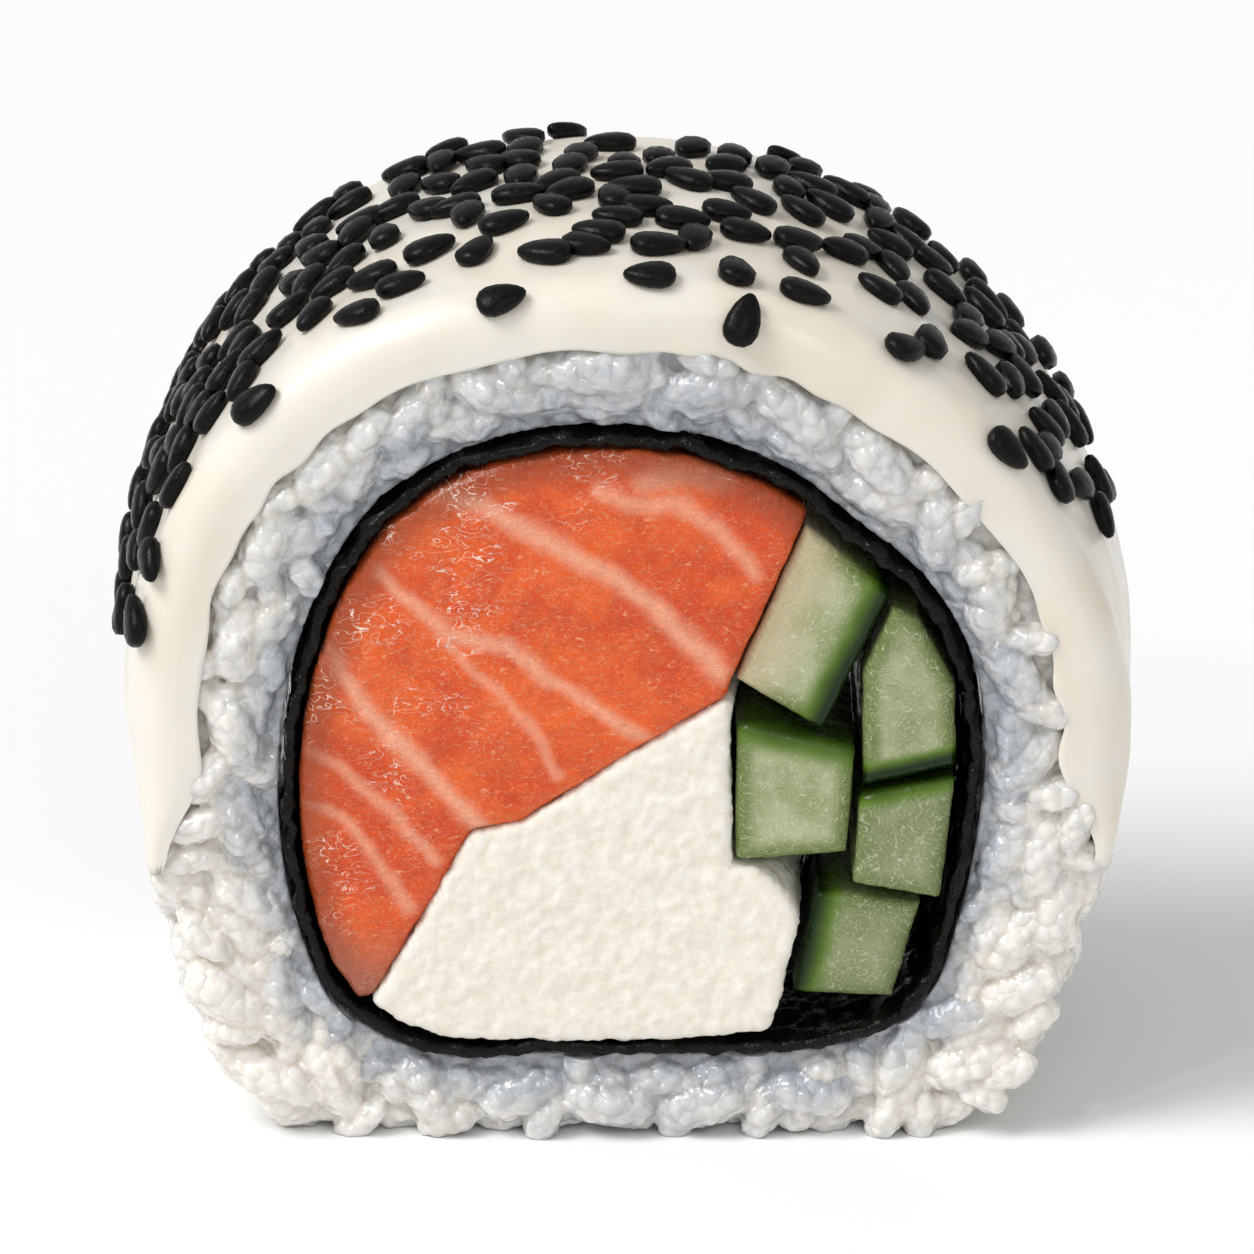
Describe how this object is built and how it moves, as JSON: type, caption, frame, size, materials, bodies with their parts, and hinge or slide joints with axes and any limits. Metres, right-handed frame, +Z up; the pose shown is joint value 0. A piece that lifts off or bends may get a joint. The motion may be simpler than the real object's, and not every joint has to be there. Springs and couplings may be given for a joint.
{
  "type": "philadelphia roll",
  "caption": "One cut piece of inside-out sushi roll: nori round salmon, cream cheese and cucumber, in rice, under a thick creamy cover with black sesame.",
  "frame": {"origin": "middle of the flat that the piece rests on", "axes": "+X to the right across the cut face, +Y back through the roll, +Z up; the cut face seen in the picture looks to -Y"},
  "size_m": [0.0527, 0.0276, 0.0479],
  "materials": {
    "cream_cover": "smooth, moist, satin to glossy cream",
    "black_sesame": "semi-gloss black sesame seeds pressed into the creamy cover",
    "cooked_rice": "translucent moist cooked short rice grains",
    "nori_sheet": "wet black seaweed sheet, glossy in thin glints",
    "raw_salmon": "moist raw fish with pale fat lines",
    "soft_cheese": "matt, crumbly cut face",
    "fresh_cucumber": "moist pale green flesh, darker green skin edges"
  },
  "bodies": {
    "root": {"cover": "cream_cover", "rice": "cooked_rice", "nori": "nori_sheet", "salmon": "raw_salmon", "cream_cheese": "soft_cheese", "cucumber_1": "fresh_cucumber", "cucumber_2": "fresh_cucumber", "cucumber_3": "fresh_cucumber", "cucumber_4": "fresh_cucumber", "cucumber_5": "fresh_cucumber"}
  },
  "joints": []
}
